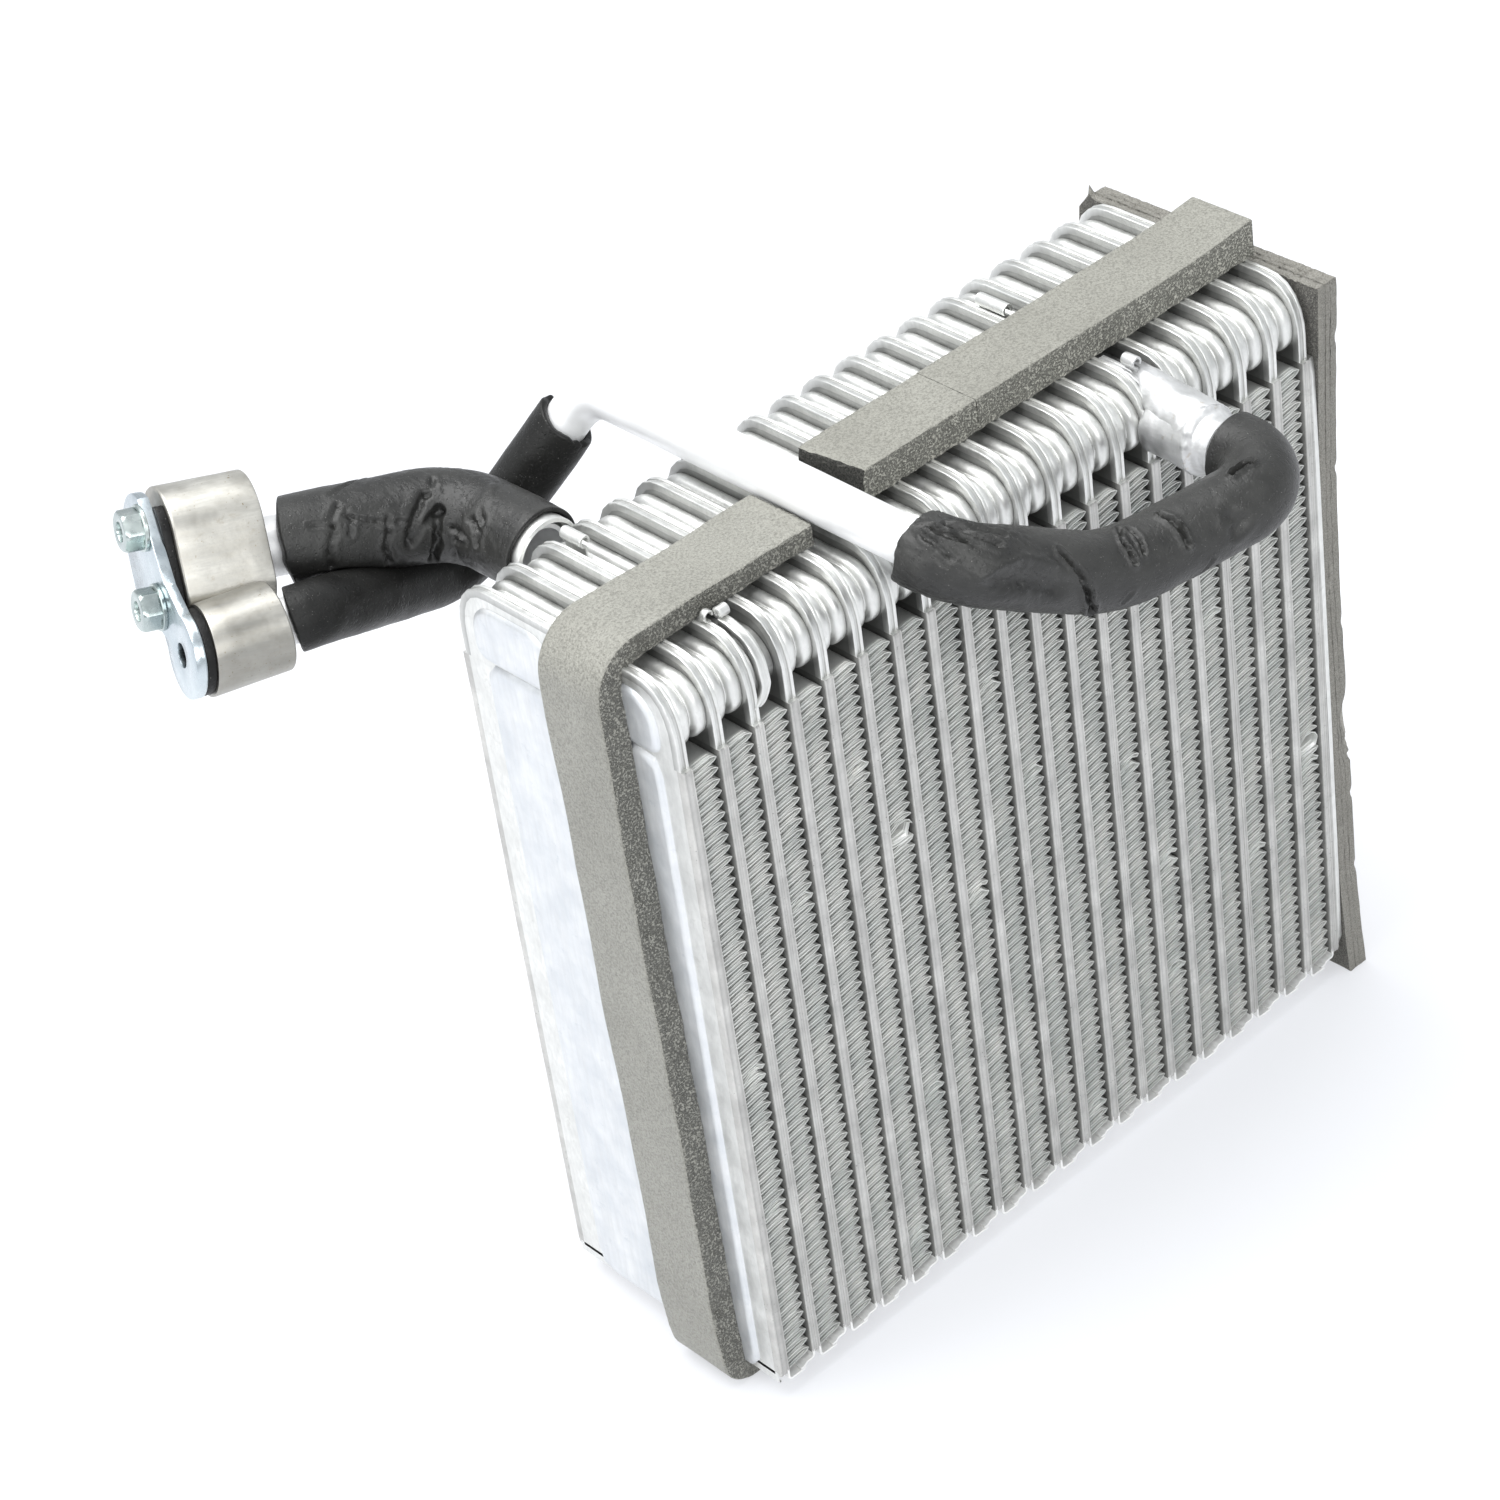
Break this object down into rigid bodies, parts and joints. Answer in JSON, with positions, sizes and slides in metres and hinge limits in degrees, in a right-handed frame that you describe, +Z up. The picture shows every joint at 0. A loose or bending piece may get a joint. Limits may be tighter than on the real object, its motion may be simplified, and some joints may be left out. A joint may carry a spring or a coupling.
{
  "type": "evaporator core",
  "caption": "Stacked-plate aluminium cooling coil with folded air fins, foam edge strips, two sleeved refrigerant pipes and a closed port block.",
  "frame": {"origin": "centre of the part's box in plan, at the level of the foam it rests on", "axes": "+X across the row of plates, from the end with the pipes' block to the end with the foam pad; +Y from the front face to the rear face; +Z up"},
  "size_m": [0.3036, 0.2104, 0.2632],
  "materials": {
    "plate_alloy": "satin brazed sheet",
    "fin_alloy": "thin dull sheet",
    "pipe_alloy": "satin drawn tube",
    "block_alloy": "sawn and scratched extrusion",
    "strip_foam": "matt open-cell foam",
    "sleeve_foam": "matt closed-cell foam tube",
    "seal_rubber": "matt black rubber",
    "zinc_steel": "bluish zinc plating"
  },
  "bodies": {
    "root": {"left_end_plate": "plate_alloy", "right_end_plate": "plate_alloy", "plate_pair_01": "plate_alloy", "plate_pair_02": "plate_alloy", "plate_pair_03": "plate_alloy", "plate_pair_04": "plate_alloy", "plate_pair_05": "plate_alloy", "plate_pair_06": "plate_alloy", "plate_pair_07": "plate_alloy", "plate_pair_08": "plate_alloy", "plate_pair_09": "plate_alloy", "plate_pair_10": "plate_alloy", "plate_pair_11": "plate_alloy", "plate_pair_12": "plate_alloy", "plate_pair_13": "plate_alloy", "plate_pair_14": "plate_alloy", "plate_pair_15": "plate_alloy", "plate_pair_16": "plate_alloy", "plate_pair_17": "plate_alloy", "plate_pair_18": "plate_alloy", "fin_01": "fin_alloy", "fin_02": "fin_alloy", "fin_03": "fin_alloy", "fin_04": "fin_alloy", "fin_05": "fin_alloy", "fin_06": "fin_alloy", "fin_07": "fin_alloy", "fin_08": "fin_alloy", "fin_09": "fin_alloy", "fin_10": "fin_alloy", "fin_11": "fin_alloy", "fin_12": "fin_alloy", "fin_13": "fin_alloy", "fin_14": "fin_alloy", "fin_15": "fin_alloy", "fin_16": "fin_alloy", "fin_17": "fin_alloy", "fin_18": "fin_alloy", "fin_19": "fin_alloy", "blank_cap_front": "plate_alloy", "blank_cap_rear": "plate_alloy", "inlet_fitting": "plate_alloy", "outlet_fitting": "plate_alloy", "suction_pipe": "pipe_alloy", "liquid_pipe": "pipe_alloy", "suction_sleeve": "sleeve_foam", "liquid_sleeve_rear": "sleeve_foam", "liquid_sleeve_front": "sleeve_foam", "foam_tape_left": "strip_foam", "foam_strip_top_left": "strip_foam", "foam_strip_top_right": "strip_foam", "foam_pad_right": "strip_foam", "connector_block": "block_alloy", "port_seal_suction": "seal_rubber", "port_seal_liquid": "seal_rubber", "shipping_plate": "zinc_steel", "hex_bolts": "zinc_steel"}
  },
  "joints": []
}
